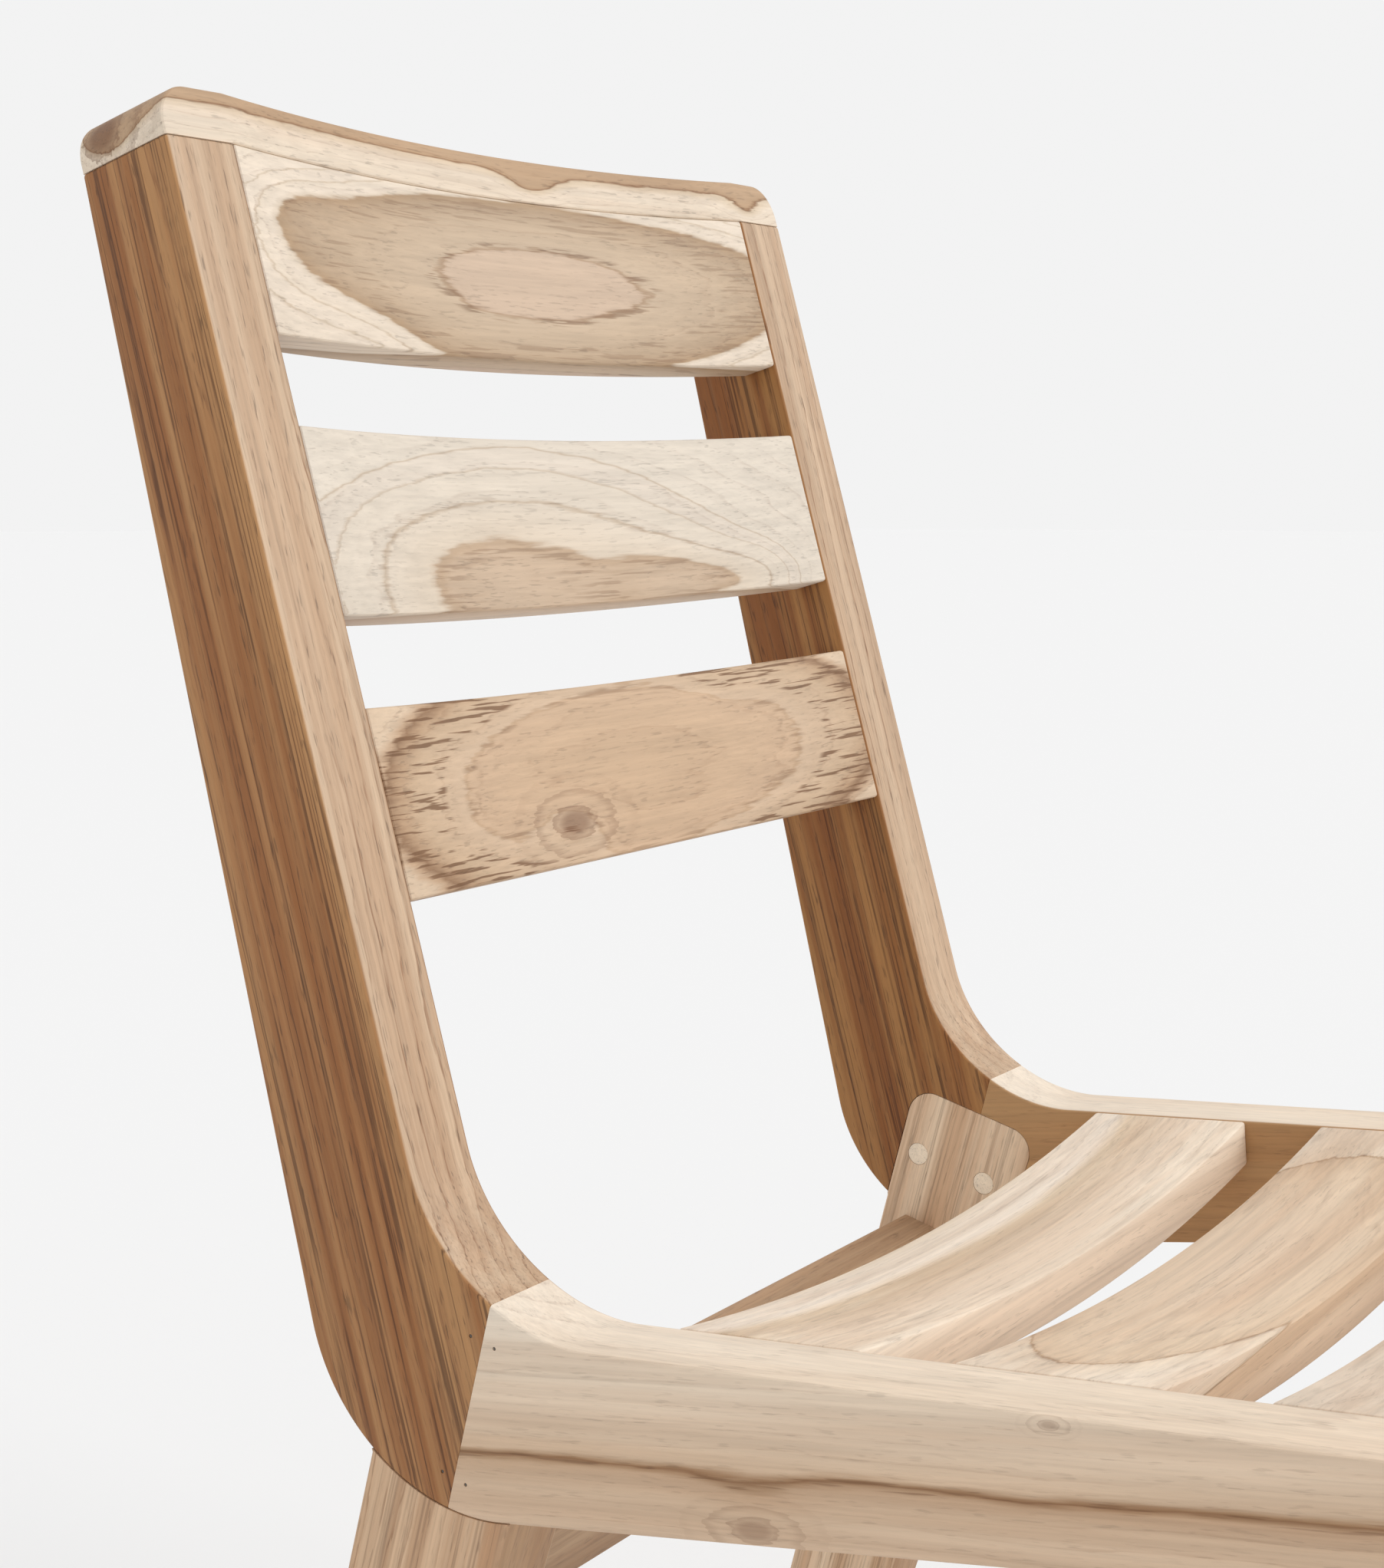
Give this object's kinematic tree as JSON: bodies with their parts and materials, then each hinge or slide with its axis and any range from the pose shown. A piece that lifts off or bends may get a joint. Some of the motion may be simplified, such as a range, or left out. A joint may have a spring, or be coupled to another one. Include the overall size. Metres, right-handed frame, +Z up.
{
  "type": "side chair",
  "caption": "Rigid solid-wood side chair: L-shaped side frames, bowed slatted back, dished slatted seat and splayed half-lapped legs.",
  "frame": {"origin": "on the floor, under the middle of the chair's bounding box", "axes": "+Z up, -Y towards the front of the seat, +X towards the sitter's left"},
  "size_m": [0.48, 0.646, 0.902],
  "materials": {
    "crest_timber": "unfinished teak, sanded, pale with a darker heart band",
    "slat_timber": "unfinished teak, sanded, plain-sawn with oval figure",
    "stile_timber": "unfinished teak heartwood, sanded, straight dark streaks",
    "rail_timber": "unfinished teak, sanded, pale",
    "leg_timber": "unfinished teak, sanded",
    "apron_timber": "unfinished teak, sanded",
    "dowel_timber": "turned hardwood dowel",
    "plug_timber": "pale wooden plug, sanded flush",
    "screw_steel": "zinc-plated wood screw",
    "pin_steel": "plain steel brad"
  },
  "bodies": {
    "root": {"crest_rail": "crest_timber", "back_slat_upper": "slat_timber", "back_slat_middle": "slat_timber", "back_slat_lower": "slat_timber", "stile_left": "stile_timber", "stile_right": "stile_timber", "seat_rail_left": "rail_timber", "seat_rail_right": "rail_timber", "seat_slat_rear": "slat_timber", "seat_slat_middle": "slat_timber", "seat_slat_front": "slat_timber", "nose_rail": "crest_timber", "rear_leg_left": "leg_timber", "rear_leg_right": "leg_timber", "front_leg_left": "leg_timber", "front_leg_right": "leg_timber", "rear_apron": "apron_timber", "front_apron": "apron_timber", "mitre_dowels": "dowel_timber", "mitre_pins": "pin_steel", "crest_dowels": "dowel_timber", "nose_dowels": "dowel_timber", "back_slat_dowels": "dowel_timber", "seat_slat_dowels": "dowel_timber", "rear_apron_dowels": "dowel_timber", "front_apron_dowels": "dowel_timber", "rear_leg_screws": "screw_steel", "rear_leg_plugs": "plug_timber", "front_leg_screws": "screw_steel", "front_leg_plugs": "plug_timber"}
  },
  "joints": []
}
